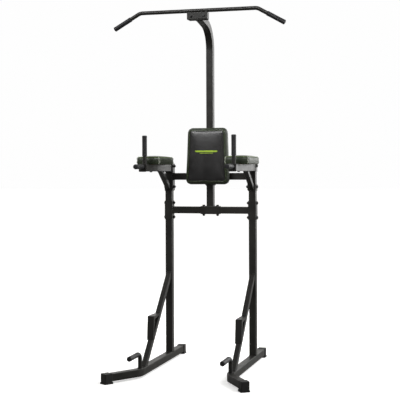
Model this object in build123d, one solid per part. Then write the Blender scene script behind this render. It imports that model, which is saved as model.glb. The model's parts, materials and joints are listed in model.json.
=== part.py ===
from build123d import *
import os
from math import atan2, cos, degrees, radians, sin, tan

# Power tower: a free-standing frame of square steel tube with a pull-up bar, dip arms with
# forearm pads, a back pad, push-up handles and steps. Lengths are millimetres, +Z is up and
# the user faces -Y with their back on the back pad. While the pieces are drawn, Y = 0 is the
# middle plane of the posts and the mast; at the end all of them are moved together so that
# the origin is the middle of the footprint on the floor. +X pieces are "right", -X are "left".

# ---- driving dimensions ----------------------------------------------------------------

# stock
tube = 45.0                  # side of the square frame tube
tube_wall = 2.0
tube_corner = 3.0            # outside corner radius of the frame tube
bar_diameter = 25.0          # round tube of the bar and of all handles
bar_wall = 2.0
grip_wall = 2.5              # of the moulded grips
grip_end = 3.0               # closed end of a grip
plate = 4.0                  # bracket plate
sheet = 3.0                  # folded sheet of the steps and the pad brackets

# main frame
post_spacing = 566.0         # between the middle planes of the two posts
post_top = 1303.0
lower_bar_drop = 306.0       # from the post's top down to the middle of the lower crossbar
upper_bar_drop = 85.0        # the same for the upper crossbar
saddle_reach = 61.0          # a saddle reaches this far above and below its crossbar's middle
saddle_bolt_offset = 47.0    # saddle bolts sit this far from the crossbar's middle

# feet
foot_clearance = 13.0        # from the floor to the underside of the foot tube
foot_rear = 282.0            # rear end of the foot tube
foot_bend_y = -621.0         # where the foot tube turns outwards
foot_splay = 33.5            # degrees outwards after the bend
foot_splay_length = 264.0
foot_bend_radius = 110.0
foot_cap_wall = 3.0
foot_cap_end = 4.0
foot_cap_sleeve = 50.0       # length of tube inside the cap
foot_cap_flare = 3.0         # the sole is this much wider than the sleeve all round
foot_cap_sole = 9.0
foot_cap_corner = 5.0

# braces and steps
brace_tube = 32.0
brace_bend_gap = 70.0        # from the foot's bend back to the brace's front face
brace_post_z = 588.0         # front face of the brace on the post
step_height = 345.0
step_tread = 133.0           # depth of the tread in front of the brace
step_toe_lean = 14.0         # the front plate's lower edge is this far ahead of the tread
step_width = 42.0
step_lip = 25.0

# push-up handles
pushup_bend_gap = 15.0       # from the foot's bend back to the handle's leg
pushup_height = 147.0
pushup_reach = 196.0         # from the leg forward to the end of the tube
pushup_grip_length = 150.0
handle_bend_radius = 36.0

# dip arms
arm_drop = 29.0              # from the post's top down to the middle of the arm tube
arm_front = -550.0
arm_bolt_drop = 17.0         # from the post's top down to the arm bracket's bolt
arm_bracket = 55.0           # height of the bracket at the arm's rear end
arm_brace_tube = 30.0
arm_brace_top_y = -184.0     # middle of the arm brace on the arm tube's underside
arm_brace_drop = 158.5       # from the post's top down to the arm brace's foot
arm_brace_bracket = 43.0     # height of the arm brace's bracket
arm_brace_bolt_rise = 5.5    # its bolt sits this far above the bracket's middle
dip_handle_rise = 6.0        # above the middle of the arm tube
dip_handle_length = 128.0
upright_handle_gap = 43.0    # from the arm's front end back to the upright handle
upright_handle_length = 173.5
upright_grip_length = 122.0

# pull-up bar and mast
bar_height = 2262.0          # middle of the pull-up bar
bar_y = -291.0
bar_bend_x = 383.0
bar_drop = 29.5              # degrees down after the bend
bar_end_length = 197.0
bar_bend_radius = 60.0
bar_grip_length = 124.0
bar_block_length = 124.0
bar_block_bolt_x = 42.0
bar_seat = 1.2               # the bar lies this deep in the block's notch
mast_rise = 10.0             # degrees above level at the mast's front end
mast_bend_radius = 160.0
mast_foot_length = 125.0
head_plate_height = 50.0

# pads
board = 12.0                 # plywood behind each pad
board_inset = 4.0
arm_pad_width = 150.0
arm_pad_length = 290.0
arm_pad_thickness = 49.5
arm_pad_rear_y = -150.0
arm_pad_corner = 12.0
arm_pad_screw_y = (-223.0, -385.0)
back_pad_bottom_width = 272.0
back_pad_top_width = 242.0
back_pad_height = 351.5
back_pad_thickness = 60.0
back_pad_corner = 28.0
back_pad_standoff = 22.5     # from the mast to the back of the board, at its lower edge
back_pad_drop = 45.0         # from the upper crossbar's middle down to the pad's lower edge
back_pad_tilt = 3.1          # degrees off upright
pad_edge = 8.0               # rounding of the padded edges
pad_bracket_heights = (140.0, 290.0)   # along the back pad, from its lower edge
pad_bracket_width = 110.0
pad_bracket_height = 40.0
pad_bracket_screw_x = 41.0

# fasteners
bolt_diameter = 10.0
hex_flats = 16.0
bolt_head = 6.4
nut_height = 8.0
washer_diameter = 21.0
washer_thickness = 2.0
thread_past_nut = 3.0
hole_clearance = 0.3         # radial, round every bolt and screw
screw_diameter = 8.0
screw_head_diameter = 16.0
screw_head = 5.0
screw_bite = 9.0             # thread inside the T-nut
t_nut_barrel = 11.0
t_nut_flange = 20.0
t_nut_flange_thickness = 1.5

# plastic plugs
plug_top = 4.0
plug_depth = 10.0
plug_gap = 0.2

# ---- derived places ---------------------------------------------------------------------

half = tube / 2
post_x = post_spacing / 2
foot_top = foot_clearance + tube
lower_bar_height = post_top - lower_bar_drop
upper_bar_height = post_top - upper_bar_drop
brace_foot_y = foot_bend_y + brace_bend_gap
pushup_leg_y = foot_bend_y + pushup_bend_gap
pushup_end_y = pushup_leg_y - pushup_reach
arm_height = post_top - arm_drop
arm_bolt_height = post_top - arm_bolt_drop
arm_brace_bottom_z = post_top - arm_brace_drop
arm_brace_bolt_height = arm_brace_bottom_z + arm_brace_bolt_rise
back_pad_bottom_z = upper_bar_height - back_pad_drop
bar_r = bar_diameter / 2
grip_r = bar_r + grip_wall
arm_top = arm_height + half
arm_underside = arm_height - half
plate_front = -half - plate              # front face of every plate that wraps a tube
post_plate_x = post_x - half - plate     # inner face of the plates on a post's inner side
upper_bar_end = post_plate_x - plate
block_height = bar_height + bar_seat - bar_r - half
head_plate_y = bar_y + half              # the head plate lies behind the block
mast_end_y = head_plate_y + plate
mast_foot = lower_bar_height + half + plate
mast_bend_z = block_height + mast_end_y * tan(radians(mast_rise))
back_plane = Plane(
    origin=(0, -half - back_pad_standoff, back_pad_bottom_z),
    x_dir=(1, 0, 0),
    z_dir=(0, -cos(radians(back_pad_tilt)), sin(radians(back_pad_tilt))),
)

nodes = {}


def add(name, *solids):
    """Keep the solids of one named piece, or of one group of identical pieces."""
    nodes[name] = [solid for shape in solids for solid in shape.solids()]


def add_pair(name, right):
    """Keep a piece of the right-hand side and its mirror image."""
    add("right_" + name, right)
    add("left_" + name, mirror(right, Plane.YZ))


def both(shapes):
    """The given shapes and their mirror images on the left."""
    return [*shapes, *(mirror(shape, Plane.YZ) for shape in shapes)]


def block(x0, x1, y0, y1, z0, z1):
    """A box between two opposite corners."""
    middle = ((x0 + x1) / 2, (y0 + y1) / 2, (z0 + z1) / 2)
    return Pos(*middle) * Box(x1 - x0, y1 - y0, z1 - z0)


# ---- tubes ------------------------------------------------------------------------------

def square_section(side, wall, corner):
    """The cross-section of a square tube with rounded outside corners."""
    inner = side - 2 * wall
    return RectangleRounded(side, side, corner) - RectangleRounded(inner, inner, max(corner - wall, 0.5))


def round_section(diameter, wall):
    """The cross-section of a round tube."""
    return Circle(diameter / 2) - Circle(diameter / 2 - wall)


def along(section, path, x_dir=(1, 0, 0)):
    """Sweep a cross-section from the start of a path to its end."""
    start = Plane(origin=path @ 0, x_dir=x_dir, z_dir=path % 0)
    return sweep(start * section, path=path)


def straight(section, start, end, x_dir=(1, 0, 0)):
    """A straight tube between two points."""
    return along(section, Line(start, end), x_dir)


frame_section = square_section(tube, tube_wall, tube_corner)
bar_section = round_section(bar_diameter, bar_wall)


def grip(start, direction, length):
    """A moulded sleeve over the end of a handle, closed at its far end."""
    plane = Plane(origin=start, z_dir=direction)
    sleeve = extrude(plane * Circle(grip_r), amount=length + grip_end)
    far_edge = sleeve.edges().sort_by(Axis(start, direction))[-1]
    sleeve = fillet(far_edge, grip_end * 0.9)
    return sleeve - extrude(plane * Circle(bar_r), amount=length)


def plug(at, direction, x_dir=(1, 0, 0)):
    """A square plastic plug that closes the end of a frame tube."""
    plane = Plane(origin=at, x_dir=x_dir, z_dir=direction)
    cap = extrude(plane * RectangleRounded(tube, tube, tube_corner), amount=plug_top)
    cap = chamfer(cap.faces().sort_by(Axis(at, direction))[-1].edges(), plug_top / 3)
    inner = tube - 2 * tube_wall - 2 * plug_gap
    return cap + extrude(plane * RectangleRounded(inner, inner, 1.0), amount=-plug_depth)


# ---- fasteners --------------------------------------------------------------------------

def hexagon(plane, height):
    """A hexagon prism with its outer corners turned off."""
    prism = extrude(plane * RegularPolygon(hex_flats / 2, 6, major_radius=False), amount=height)
    turned = extrude(plane * Circle(hex_flats * 0.56), amount=height)
    far_edge = turned.edges().sort_by(Axis(plane.origin, plane.z_dir))[-1]
    return prism & chamfer(far_edge, hex_flats * 0.09)


class BoltLine:
    """One through bolt: it enters at a point on the first plate and clamps a given grip."""

    def __init__(self, start, direction, clamped):
        self.start = Vector(*start)
        self.direction = Vector(*direction)
        self.clamped = clamped

    def plane(self, distance):
        """A plane across the bolt at a distance from the first plate's face."""
        return Plane(origin=self.start + self.direction * distance, z_dir=self.direction)

    def bolt(self):
        shank = self.clamped + 2 * washer_thickness + nut_height + thread_past_nut
        body = extrude(self.plane(-washer_thickness) * Circle(bolt_diameter / 2), amount=shank)
        head = Plane(origin=self.plane(-washer_thickness).origin, z_dir=-self.direction)
        return body + hexagon(head, bolt_head)

    def washers(self):
        ring = Circle(washer_diameter / 2) - Circle(bolt_diameter / 2 + hole_clearance)
        near = extrude(self.plane(-washer_thickness) * ring, amount=washer_thickness)
        far = extrude(self.plane(self.clamped) * ring, amount=washer_thickness)
        return [near, far]

    def nut(self):
        seat = self.plane(self.clamped + washer_thickness)
        return hexagon(seat, nut_height) - extrude(seat * Circle(bolt_diameter / 2), amount=nut_height)

    def hole(self):
        radius = bolt_diameter / 2 + hole_clearance
        return extrude(self.plane(-1) * Circle(radius), amount=self.clamped + 2)


def drilled(part, lines):
    """The part with a clearance hole for each bolt that passes through it."""
    for line in lines:
        part = part - line.hole()
    return part


def bolts_through_post(heights, inner_plates):
    """Bolts through the right-hand post, their heads on its outer side."""
    outer = post_x + half + plate
    clamped = tube + plate * (1 + inner_plates)
    return [BoltLine((outer, 0, z), (-1, 0, 0), clamped) for z in heights]


saddle_heights = (lower_bar_height - saddle_bolt_offset, lower_bar_height + saddle_bolt_offset)
lower_joint = bolts_through_post(saddle_heights, 1)
upper_joint = bolts_through_post((arm_bolt_height, arm_brace_bolt_height), 2)
mast_foot_bolts = [
    BoltLine((x, 0, mast_foot), (0, 0, -1), tube + 2 * plate)
    for x in (-saddle_bolt_offset, saddle_bolt_offset)
]
centre_bolts = [
    BoltLine((half + plate, 0, upper_bar_height + offset), (-1, 0, 0), tube + 2 * plate)
    for offset in (-saddle_bolt_offset, saddle_bolt_offset)
]
block_bolts = [
    BoltLine((x, bar_y - half, block_height), (0, 1, 0), tube + plate)
    for x in (-bar_block_bolt_x, bar_block_bolt_x)
]


# ---- brackets ---------------------------------------------------------------------------

def post_wrap(bottom, top):
    """A bent plate round the front and both sides of the right-hand post."""
    side = half + plate
    outside = block(post_x - side, post_x + side, plate_front, half, bottom, top)
    bends = outside.edges().filter_by(Axis.Z).sort_by(Axis.Y)[:2]
    outside = fillet(bends, plate)
    return outside - block(post_x - half, post_x + half, -half, tube, bottom - 1, top + 1)


def mast_wrap(bottom, top):
    """The same bent plate round the mast."""
    return Pos(-post_x, 0, 0) * post_wrap(bottom, top)


# ---- feet -------------------------------------------------------------------------------

foot_middle = foot_clearance + half
splay = radians(foot_splay)
foot_bend = Vector(post_x, foot_bend_y, foot_middle)
foot_front = foot_bend + Vector(sin(splay), -cos(splay), 0) * foot_splay_length
foot_path = FilletPolyline(
    (post_x, foot_rear, foot_middle),
    foot_bend,
    foot_front,
    radius=foot_bend_radius,
)


def foot_cap(end, turn):
    """A plastic shoe over the end of a foot tube; turn is its heading from +Y, in degrees."""
    width = tube + 2 * foot_cap_wall
    length = foot_cap_sleeve + foot_cap_end
    middle = foot_cap_end - length / 2
    sleeve = Pos(0, middle, 0) * extrude(RectangleRounded(width, length, foot_cap_corner), foot_top + foot_cap_wall)
    sole = RectangleRounded(width + 2 * foot_cap_flare, length + 2 * foot_cap_flare, foot_cap_corner)
    shoe = sleeve + Pos(0, middle, 0) * extrude(sole, foot_cap_sole)
    shoe = fillet(shoe.edges().group_by(Axis.Z)[-1], foot_cap_wall * 0.7)
    inside = block(-half, half, -length * 2, 0, foot_clearance, foot_top)
    return Pos(end.X, end.Y, 0) * Rot(0, 0, turn) * (shoe - inside)


rear_cap = foot_cap(foot_path @ 0, 0)
front_cap = foot_cap(foot_path @ 1, 180 + foot_splay)

add_pair("foot_tube", along(frame_section, foot_path))
add("foot_caps", *both([rear_cap, front_cap]))

# ---- posts ------------------------------------------------------------------------------

post = straight(frame_section, (post_x, 0, foot_top), (post_x, 0, post_top))
add_pair("post", drilled(post, lower_joint + upper_joint))
add("post_caps", *both([plug((post_x, 0, post_top), (0, 0, 1))]))

# ---- braces and steps -------------------------------------------------------------------

brace_low = Vector(0, brace_foot_y, foot_top)
brace_high = Vector(0, -half, brace_post_z)
brace_axis = (brace_high - brace_low).normalized()
brace_normal = Vector(0, -brace_axis.Z, brace_axis.Y)      # out of the brace's front face
brace_offset = brace_normal * (-brace_tube / 2)


def brace_y(z):
    """Where the brace's front face stands at a height."""
    return brace_foot_y + (z - foot_top) * brace_axis.Y / brace_axis.Z


def make_brace():
    """The diagonal tube, cut level on the foot and upright on the post."""
    section = square_section(brace_tube, tube_wall, tube_corner)
    shift = Vector(post_x, 0, 0) + brace_offset
    spare = brace_axis * (brace_tube * 2)
    long_tube = straight(section, brace_low + shift - spare, brace_high + shift + spare)
    keep = block(0, 2 * post_x, brace_foot_y * 2, -half, foot_top, brace_post_z * 2)
    return long_tube & keep


def step_corner(along_tread, along_front, gap):
    """The inside corner of the folded step, one sheet in from both of its faces."""
    spread = along_tread.cross(along_front).length
    return (along_tread + along_front) * (gap / spread)


def make_step():
    """A folded step: a level tread, a front plate down to the brace and two small side lips."""
    back = Vector(brace_y(step_height), step_height)
    nose = back - Vector(step_tread, 0)
    toe_y = nose.X - step_toe_lean
    toe = Vector(toe_y, foot_top + (toe_y - brace_foot_y) * brace_axis.Z / brace_axis.Y)
    tread = (back - nose).normalized()
    front = (toe - nose).normalized()
    inner = nose + step_corner(tread, front, sheet)
    reach = (toe - nose).length * 2
    outline = Polygon(nose, back, toe, align=None)
    hollow = Polygon(inner, inner + tread * reach, inner + front * reach, align=None)
    tread_lip = Polygon(nose, back, nose + front * step_lip, align=None)
    front_lip = Polygon(nose, nose + tread * step_lip, toe, align=None)
    side = Plane(origin=(post_x - step_width / 2, 0, 0), x_dir=(0, 1, 0), z_dir=(1, 0, 0))
    far_side = side.offset(step_width - sheet)
    lips = tread_lip + front_lip
    folded = extrude(side * (outline - hollow), amount=step_width, dir=side.z_dir)
    for lip_side in (side, far_side):
        folded = folded + extrude(lip_side * lips, amount=sheet, dir=side.z_dir)
    return folded


add_pair("brace", make_brace())
add_pair("step", make_step())

# ---- push-up handles --------------------------------------------------------------------

pushup_path = FilletPolyline(
    (post_x, pushup_leg_y, foot_top),
    (post_x, pushup_leg_y, pushup_height),
    (post_x, pushup_end_y, pushup_height),
    radius=handle_bend_radius,
)
pushup_grip_start = (post_x, pushup_end_y + pushup_grip_length, pushup_height)
add_pair("pushup_handle", along(bar_section, pushup_path))
add_pair("pushup_grip", grip(pushup_grip_start, (0, -1, 0), pushup_grip_length))

# ---- lower crossbar ---------------------------------------------------------------------

lower_bar = straight(
    frame_section,
    (-post_plate_x, 0, lower_bar_height),
    (post_plate_x, 0, lower_bar_height),
    x_dir=(0, 1, 0),
)
add("lower_crossbar", drilled(lower_bar, mast_foot_bolts))
lower_saddle = post_wrap(lower_bar_height - saddle_reach, lower_bar_height + saddle_reach)
add_pair("lower_crossbar_saddle", drilled(lower_saddle, lower_joint))


def make_mast_foot():
    """A bent plate over the lower crossbar, open at the back, that the mast stands on."""
    reach = mast_foot_length / 2
    top = lower_bar_height + half + plate
    bottom = lower_bar_height - half - plate
    outside = block(-reach, reach, plate_front, half, bottom, top)
    bends = outside.edges().filter_by(Axis.X).sort_by(Axis.Y)[:2]
    outside = fillet(bends, plate)
    return outside - block(-reach - 1, reach + 1, -half, tube, bottom + plate, top - plate)


add("mast_foot_saddle", drilled(make_mast_foot(), mast_foot_bolts))

# ---- upper crossbar ---------------------------------------------------------------------

upper_bar = straight(
    frame_section,
    (half + plate, 0, upper_bar_height),
    (upper_bar_end, 0, upper_bar_height),
    x_dir=(0, 1, 0),
)
centre_saddle = mast_wrap(upper_bar_height - saddle_reach, upper_bar_height + saddle_reach)
arm_brace_bracket_bottom = arm_brace_bottom_z - arm_brace_bracket / 2
end_plate = block(upper_bar_end, post_plate_x, -half, half, arm_brace_bracket_bottom + plate, post_top)
add_pair("upper_crossbar_tube", upper_bar)
add_pair("upper_crossbar_end_plate", drilled(end_plate, upper_joint))
add("upper_crossbar_centre_saddle", drilled(centre_saddle, centre_bolts))

# ---- dip arms ---------------------------------------------------------------------------

arm_screws = [
    BoltLine((post_x, y, arm_underside), (0, 0, 1), tube + board)
    for y in arm_pad_screw_y
]


def screw_hole(line, length, radius):
    """A hole that starts on the face under a pad screw's head."""
    return extrude(line.plane(-1) * Circle(radius), amount=length + 1)


def make_arm_tube():
    tube_body = straight(frame_section, (post_x, plate_front, arm_height), (post_x, arm_front + plate, arm_height))
    for line in arm_screws:
        tube_body = tube_body - screw_hole(line, tube + 1, screw_diameter / 2 + hole_clearance)
    return tube_body


def make_arm_brace():
    """The short diagonal under the arm, cut level at the arm and upright at its bracket."""
    low = Vector(post_x, plate_front, arm_brace_bottom_z)
    high = Vector(post_x, arm_brace_top_y, arm_underside)
    spare = (high - low).normalized() * (arm_brace_tube * 2)
    section = square_section(arm_brace_tube, tube_wall, tube_corner)
    keep = block(0, 2 * post_x, arm_front, plate_front, 0, arm_underside)
    return straight(section, low - spare, high + spare) & keep


arm_rear_bracket = post_wrap(post_top - arm_bracket, post_top)
arm_brace_wrap = post_wrap(arm_brace_bracket_bottom, arm_brace_bracket_bottom + arm_brace_bracket)
arm_end = block(post_x - half, post_x + half, arm_front, arm_front + plate, arm_underside, arm_top)
dip_start = Vector(post_x, arm_front, arm_height + dip_handle_rise)
dip_end = dip_start - Vector(0, dip_handle_length, 0)
upright_start = Vector(post_x, arm_front + upright_handle_gap, arm_top)
upright_end = upright_start + Vector(0, 0, upright_handle_length)
upright_grip_start = upright_end - Vector(0, 0, upright_grip_length)

add_pair("arm_tube", make_arm_tube())
add_pair("arm_rear_bracket", drilled(arm_rear_bracket, upper_joint))
add_pair("arm_brace", make_arm_brace())
add_pair("arm_brace_bracket", drilled(arm_brace_wrap, upper_joint))
add("arm_end_plates", *both([arm_end]))
add_pair("dip_handle", straight(bar_section, dip_start, dip_end))
add_pair("dip_grip", grip(dip_start, (0, -1, 0), dip_handle_length))
add_pair("upright_handle", straight(bar_section, upright_start, upright_end))
add_pair("upright_grip", grip(upright_grip_start, (0, 0, 1), upright_grip_length))

# ---- mast, bar block and pull-up bar ----------------------------------------------------


def make_mast():
    """The mast rises from the lower crossbar and bends forward to the head plate."""
    forward = cos(radians(mast_rise))
    upward = sin(radians(mast_rise))
    tip = Vector(0, mast_end_y - tube * forward, block_height + tube * upward)
    path = FilletPolyline((0, 0, mast_foot), (0, 0, mast_bend_z), tip, radius=mast_bend_radius)
    return along(frame_section, path) & block(-tube, tube, mast_end_y, tube, 0, bar_height * 2)


bar_turn = radians(bar_drop)
bar_tip_x = bar_bend_x + bar_end_length * cos(bar_turn)
bar_tip_z = bar_height - bar_end_length * sin(bar_turn)
bar_path = FilletPolyline(
    (-bar_tip_x, bar_y, bar_tip_z),
    (-bar_bend_x, bar_y, bar_height),
    (bar_bend_x, bar_y, bar_height),
    (bar_tip_x, bar_y, bar_tip_z),
    radius=bar_bend_radius,
)
bar_direction = Vector(cos(bar_turn), 0, -sin(bar_turn))
bar_grip_start = Vector(bar_tip_x, bar_y, bar_tip_z) - bar_direction * bar_grip_length

block_end = bar_block_length / 2
bar_block = straight(
    frame_section,
    (-block_end, bar_y, block_height),
    (block_end, bar_y, block_height),
    x_dir=(0, 1, 0),
)
bar_notch = Pos(0, bar_y, bar_height) * Rot(0, 90, 0) * Cylinder(bar_r, bar_block_length * 2)
plate_low = block_height - head_plate_height / 2
head_plate = block(-block_end, block_end, head_plate_y, mast_end_y, plate_low, plate_low + head_plate_height)

add("mast", drilled(make_mast(), centre_bolts))
add("mast_head_plate", drilled(head_plate, block_bolts))
add("bar_block", drilled(bar_block - bar_notch, block_bolts))
block_cap = plug((block_end, bar_y, block_height), (1, 0, 0), (0, 1, 0)) - bar_notch
add("bar_block_caps", *both([block_cap]))
add("pull_up_bar", along(bar_section, bar_path, (0, 1, 0)))
add_pair("bar_grip", grip(bar_grip_start, bar_direction, bar_grip_length))

# ---- pads -------------------------------------------------------------------------------


def screw_and_nut(plane, clamped):
    """A pan-head screw whose head sits under a plane, and its T-nut in the board beyond."""
    screw = extrude(plane * Circle(screw_diameter / 2), amount=clamped + screw_bite)
    head = extrude(plane * Circle(screw_head_diameter / 2), amount=-screw_head)
    rim = head.edges().sort_by(Axis(plane.origin, plane.z_dir))[0]
    head = fillet(rim, screw_head * 0.6)
    near = plane.offset(clamped + board - t_nut_flange_thickness)
    barrel_plane = plane.offset(clamped)
    barrel = extrude(barrel_plane * Circle(t_nut_barrel / 2), amount=board)
    flange = extrude(near * Circle(t_nut_flange / 2), amount=t_nut_flange_thickness)
    nut = barrel + flange
    bore = extrude(barrel_plane * Circle(screw_diameter / 2), amount=board)
    return screw + head, nut - bore, nut


def make_arm_pad():
    """The arm pad's board and the cushion that wraps it, on the right-hand arm."""
    middle_y = arm_pad_rear_y - arm_pad_length / 2
    seat = Plane(origin=(post_x, middle_y, arm_top))
    outline = RectangleRounded(arm_pad_width, arm_pad_length, arm_pad_corner)
    cushion = extrude(seat * outline, amount=arm_pad_thickness)
    cushion = fillet(cushion.edges().group_by(Axis.Z)[-1], pad_edge)
    inner = RectangleRounded(
        arm_pad_width - 2 * board_inset,
        arm_pad_length - 2 * board_inset,
        arm_pad_corner - board_inset,
    )
    wood = extrude(seat * inner, amount=board)
    return wood, cushion - wood


def make_back_pad():
    """The back pad's board and the cushion that wraps it, a little narrower at the top."""
    low = back_pad_bottom_width / 2
    high = back_pad_top_width / 2
    trapezoid = Polygon((-low, 0), (low, 0), (high, back_pad_height), (-high, back_pad_height), align=None)
    outline = fillet(trapezoid.vertices(), back_pad_corner)
    cushion = extrude(back_plane * outline, amount=back_pad_thickness)
    front = cushion.faces().sort_by(Axis(back_plane.origin, back_plane.z_dir))[-1]
    cushion = fillet(front.edges(), pad_edge)
    wood = extrude(back_plane * offset(outline, -board_inset), amount=board)
    return wood, cushion - wood


def make_pad_bracket(height):
    """A folded bracket from the mast's front face to the back of the board."""
    z = back_pad_bottom_z + height
    low = z - pad_bracket_height / 2
    high = z + pad_bracket_height / 2
    behind = Plane(origin=back_plane.origin, x_dir=back_plane.x_dir, z_dir=back_plane.z_dir)
    channel = split(block(-half, half, -tube * 3, -half, low, high), behind, keep=Keep.BOTTOM)
    room = block(sheet - half, half - sheet, -tube * 3, -half - sheet, low - 1, high + 1)
    channel = channel - split(room, behind.offset(-sheet), keep=Keep.BOTTOM)
    face = back_plane * Pos(0, height, 0) * Rectangle(pad_bracket_width, pad_bracket_height)
    flange = extrude(face, amount=-sheet)
    return channel + flange


arm_wood, arm_cushion = make_arm_pad()
back_wood, back_cushion = make_back_pad()
pad_brackets = [make_pad_bracket(height) for height in pad_bracket_heights]
pad_screws = []
t_nuts = []
hole_radius = screw_diameter / 2 + hole_clearance

for line in arm_screws:
    screw, nut, nut_room = screw_and_nut(line.plane(0), tube)
    arm_wood = arm_wood - nut_room
    pad_screws += both([screw])
    t_nuts += both([nut])

for index, height in enumerate(pad_bracket_heights):
    for x in (-pad_bracket_screw_x, pad_bracket_screw_x):
        under_flange = back_plane.offset(-sheet) * Pos(x, height, 0)
        plane = Plane(under_flange.position, x_dir=back_plane.x_dir, z_dir=back_plane.z_dir)
        screw, nut, nut_room = screw_and_nut(plane, sheet)
        back_wood = back_wood - nut_room
        hole = extrude(plane * Circle(hole_radius), amount=sheet)
        pad_brackets[index] = pad_brackets[index] - hole
        pad_screws.append(screw)
        t_nuts.append(nut)

add_pair("arm_pad_board", arm_wood)
add_pair("arm_pad", arm_cushion)
add("back_pad_board", back_wood)
add("back_pad", back_cushion)
add("back_pad_brackets", *pad_brackets)
add("pad_screws", *pad_screws)
add("pad_t_nuts", *t_nuts)

# ---- frame fasteners --------------------------------------------------------------------

side_lines = lower_joint + upper_joint
middle_lines = mast_foot_bolts + centre_bolts + block_bolts
side_washers = [washer for line in side_lines for washer in line.washers()]
middle_washers = [washer for line in middle_lines for washer in line.washers()]
add("frame_bolts", *both([line.bolt() for line in side_lines]), *[line.bolt() for line in middle_lines])
add("frame_nuts", *both([line.nut() for line in side_lines]), *[line.nut() for line in middle_lines])
add("frame_washers", *both(side_washers), *middle_washers)

# ---- one STEP file for each piece -------------------------------------------------------

footprint = Compound(children=nodes["foot_caps"]).bounding_box()
to_origin = Pos(0, -footprint.center().Y, 0)

os.makedirs("parts", exist_ok=True)
for name, solids in nodes.items():
    moved = [to_origin * solid for solid in solids]
    shape = moved[0] if len(moved) == 1 else Compound(children=moved)
    shape.label = name
    export_step(shape, os.path.join("parts", name + ".step"))
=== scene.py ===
# %% [markdown]
# # A power tower, from a bare frame to its finishes
#
# The steel frame, brackets, bolts and boards of this tower come ready from CAD. This lesson adds
# what a drawing of steel parts leaves out: the paint, the stuffed pads with their piping, the
# moulded grips, the weld beads and the upholsterer's staples. Each step says what the piece is on
# the real tower, how it could be made in Blender, and why it is made this way.
#
# The CAD parts are loaded first and are never moved. Everything is in metres, with +Z up and -Y
# the way the user faces. Blender's own start-up cube, lamp and camera go first, so that the scene
# holds the tower alone.

# %% Load the frame and measure it
import json
import bpy
import bmesh
import numpy as np
from mathutils import Matrix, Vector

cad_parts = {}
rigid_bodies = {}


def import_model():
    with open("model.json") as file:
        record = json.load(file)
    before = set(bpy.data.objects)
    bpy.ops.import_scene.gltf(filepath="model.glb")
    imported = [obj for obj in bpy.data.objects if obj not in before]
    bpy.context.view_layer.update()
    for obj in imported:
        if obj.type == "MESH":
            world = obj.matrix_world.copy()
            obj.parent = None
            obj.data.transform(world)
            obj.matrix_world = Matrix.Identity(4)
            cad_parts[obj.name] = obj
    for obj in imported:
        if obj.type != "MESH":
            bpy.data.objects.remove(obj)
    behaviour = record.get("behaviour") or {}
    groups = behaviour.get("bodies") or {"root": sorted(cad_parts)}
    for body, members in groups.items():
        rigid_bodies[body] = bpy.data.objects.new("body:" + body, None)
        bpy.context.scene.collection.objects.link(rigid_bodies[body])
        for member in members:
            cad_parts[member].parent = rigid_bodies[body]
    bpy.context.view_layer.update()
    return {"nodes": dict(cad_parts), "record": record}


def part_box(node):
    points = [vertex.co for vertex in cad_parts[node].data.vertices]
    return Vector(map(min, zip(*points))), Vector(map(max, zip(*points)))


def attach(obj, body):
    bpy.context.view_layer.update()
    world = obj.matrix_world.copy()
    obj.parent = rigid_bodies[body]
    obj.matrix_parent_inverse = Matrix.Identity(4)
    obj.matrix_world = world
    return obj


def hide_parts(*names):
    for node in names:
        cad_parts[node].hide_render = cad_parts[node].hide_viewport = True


for leftover in list(bpy.data.objects):
    bpy.data.objects.remove(leftover, do_unlink=True)
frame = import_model()
nodes = frame["nodes"]
MM = 0.001

# %% [markdown]
# ## Colours and shader nodes
#
# Colours are written as the sRGB hex values of a colour picker. Cycles works in linear light, so
# one function turns a hex value to linear. Shader trees are built with one small function that
# adds a node, sets it up and makes its links, so that a finish reads as a list of what it is made
# of, from the coordinates it starts with to the shader it ends in.

# %% Two helpers for every finish


def linear(hex_colour):
    """Linear RGBA of an sRGB hex colour: c / 12.92 near black, else ((c + 0.055) / 1.055) ^ 2.4."""
    c = np.array([int(hex_colour[i:i + 2], 16) for i in (1, 3, 5)]) / 255
    return (*np.where(c <= 0.04045, c / 12.92, ((c + 0.055) / 1.055) ** 2.4), 1.0)


def add(material, kind, sockets, **settings):
    """Add a node and return its outputs. A socket takes a constant, or the output that feeds it."""
    node = material.node_tree.nodes.new(kind)
    for name, value in settings.items():
        setattr(node, name, value)
    for name, value in sockets.items():
        if isinstance(value, bpy.types.NodeSocket):
            material.node_tree.links.new(value, node.inputs[name])
        else:
            node.inputs[name].default_value = value
    return node.outputs


# %% [markdown]
# ## How a finish is put together
#
# Most finishes of this tower are one dark colour that is a little uneven, with a fine surface that
# breaks up the highlights. So one function starts a material from its Object coordinates and one
# closes it with a shader. Between them goes what is particular to the finish. Object coordinates
# keep a pattern still on a CAD node and on a new piece alike, since both keep their place in
# their mesh.
#
# Paint, plastic and vinyl are never evenly coloured or evenly glossy: handling, dust and the
# spray pattern leave patches. One function gives both, from the same noise: a colour that wanders
# between two tones, and a roughness that wanders between two values. Sizes are in millimetres; a
# texture's scale is one over its feature size in metres.

# %% Start, vary and close a finish
NOISE_SPAN = {"From Min": 0.3, "From Max": 0.7}     # nearly all of a noise texture's values
FACTOR, COLOUR_A, COLOUR_B = 0, 6, 7                # inputs of a Mix node that mixes colours
MIXED_COLOUR = 2                                    # and its output


def begin(name):
    """An empty material and its Object coordinates."""
    material = bpy.data.materials.new(name)
    material.use_nodes = True
    material.node_tree.nodes.clear()
    return material, add(material, "ShaderNodeTexCoord", {})["Object"]


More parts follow.
